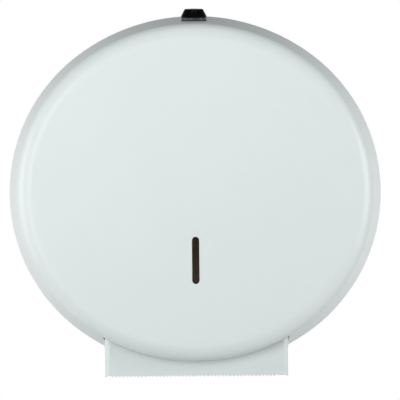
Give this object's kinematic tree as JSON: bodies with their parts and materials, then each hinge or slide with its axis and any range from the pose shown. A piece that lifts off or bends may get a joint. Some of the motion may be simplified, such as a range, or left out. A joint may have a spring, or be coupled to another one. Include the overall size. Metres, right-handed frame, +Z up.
{
  "type": "jumbo toilet roll dispenser",
  "caption": "Wall-mounted oval steel dispenser for a jumbo toilet roll, with a hinged locking cover, a sight slot, a serrated chute and a turning roll hub.",
  "frame": {"origin": "on the wall, where the roll's axis meets the back plate's rear face", "axes": "+Y into the wall, +Z up, the front faces -Y, +X to the right seen from the front"},
  "size_m": [0.342, 0.125, 0.328],
  "materials": {
    "cover_coat": "satin white powder coat outside, primer inside",
    "chute_coat": "satin white powder coat",
    "plate_coat": "matt grey-brown primer",
    "plated_steel": "bright zinc plate",
    "spring_steel": "blackened spring steel",
    "hub_plastic": "moulded grey plastic",
    "bush_plastic": "natural nylon",
    "friction_fibre": "pressed fibre",
    "black_rubber": "matte",
    "lock_grey": "dark grey coated die casting",
    "lock_black": "polished black"
  },
  "bodies": {
    "housing": {"back_plate": "plate_coat", "paper_chute": "chute_coat", "chute_rivets": "plated_steel", "spindle_base": "plated_steel", "spindle_rivets": "plated_steel", "spindle_shaft": "plated_steel", "brake_washer": "spring_steel", "friction_washer": "friction_fibre", "front_washer": "plated_steel", "retaining_clip": "spring_steel", "keeper_bracket": "plated_steel", "keeper_rivets": "plated_steel", "rim_buffers": "black_rubber", "hinge_washers": "bush_plastic"},
    "cover": {"cover_shell": "cover_coat", "hinge_pins": "plated_steel", "lock_housing": "lock_grey", "lock_seal": "black_rubber", "lock_washer": "plated_steel", "lock_nut": "plated_steel"},
    "lock": {"lock_head": "lock_black", "lock_cam": "plated_steel", "cam_screw": "plated_steel"},
    "hub": {"roll_hub": "hub_plastic", "hub_bushes": "bush_plastic"}
  },
  "joints": [
    {"name": "cover_hinge", "type": "hinge", "parent": "housing", "child": "cover", "pos_m": [0, -0.012, -0.1371], "axis": [1, 0, 0], "range_deg": [0, 85]},
    {"name": "lock_turn", "type": "hinge", "parent": "cover", "child": "lock", "pos_m": [0, -0.075, 0.15336], "axis": [0, 0.1219, -0.9925], "range_deg": [0, 90]},
    {"name": "hub_spin", "type": "hinge", "parent": "housing", "child": "hub", "pos_m": [0, -0.06, 0], "axis": [0, -1, 0], "continuous": true}
  ]
}
